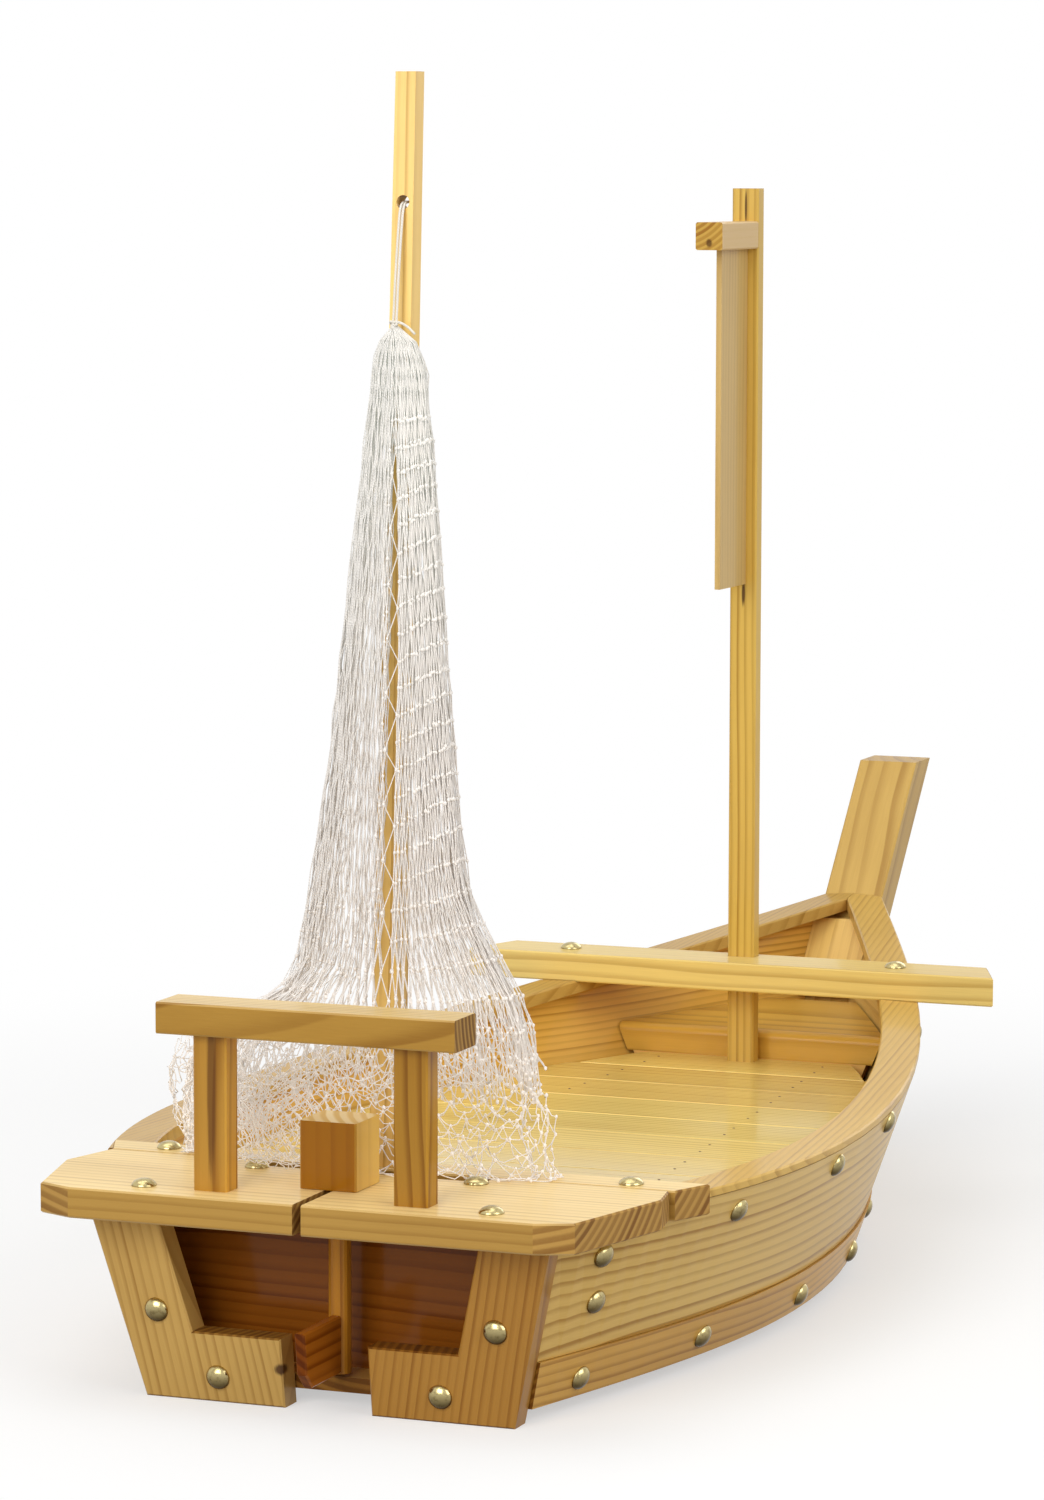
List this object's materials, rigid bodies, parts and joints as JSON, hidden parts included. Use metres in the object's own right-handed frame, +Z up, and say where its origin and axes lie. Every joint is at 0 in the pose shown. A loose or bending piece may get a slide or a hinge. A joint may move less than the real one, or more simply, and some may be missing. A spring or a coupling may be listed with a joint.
{
  "type": "sushi boat",
  "caption": "Wooden boat-shaped serving platter: planked hull, slatted tray deck, stern deck with gate rail, turning rudder, lift-out masts with a board sail and a hanging net.",
  "frame": {"origin": "on the table under the middle of the boat's length and width", "axes": "+X to starboard, +Y to the bow, +Z up"},
  "size_m": [0.339, 0.9, 0.6],
  "materials": {
    "pine": "clear gloss lacquer over straight-grained pine",
    "pale_pine": "clear gloss lacquer over pale flat-sawn pine",
    "dark_pine": "clear lacquer over darker heart pine",
    "twine": "white twisted twine"
  },
  "bodies": {
    "hull": {"bottom_board": "pine", "lower_strake_starboard": "pale_pine", "lower_strake_port": "pale_pine", "upper_strake_starboard": "pale_pine", "upper_strake_port": "pale_pine", "rail_starboard": "pine", "rail_port": "pine", "transom_starboard": "pale_pine", "transom_port": "pale_pine", "stem": "pine", "apron": "pine", "foot_batten": "pine", "stern_bulkhead": "dark_pine", "bow_bulkhead": "pine", "floor_frame_1": "pine", "floor_frame_2": "pine", "bearer_starboard": "pine", "bearer_port": "pine", "slat_1": "pale_pine", "slat_2": "pale_pine", "slat_3": "pale_pine", "slat_4": "pale_pine", "slat_5": "pale_pine", "slat_6": "pale_pine", "slat_7": "pale_pine", "slat_8": "pale_pine", "slat_9": "pale_pine", "slat_10": "pale_pine", "slat_11": "pale_pine", "bow_platform": "pale_pine", "stern_plank_aft": "pale_pine", "stern_plank_fore": "pale_pine", "gate_post_starboard": "pine", "gate_post_port": "pine", "gate_beam": "pine", "crossbeam": "pale_pine"},
    "rudder": {"rudder_post": "pine", "rudder_head": "pine", "rudder_blade": "pale_pine"},
    "foremast": {"foremast": "pine", "yard": "pine", "sail": "pale_pine"},
    "aft_mast": {"aft_mast": "pine", "net": "twine", "cord": "twine"}
  },
  "joints": [
    {"name": "rudder_turn", "type": "hinge", "parent": "hull", "child": "rudder", "pos_m": [0, -0.401, 0.05], "axis": [0, 0, 1], "range_deg": [-40, 40]},
    {"name": "foremast_lift", "type": "slide", "parent": "hull", "child": "foremast", "axis": [0, 0, 1], "range_m": [0, 0.07]},
    {"name": "aft_mast_lift", "type": "slide", "parent": "hull", "child": "aft_mast", "axis": [0, 0.0576, 0.9983], "range_m": [0, 0.045]}
  ]
}
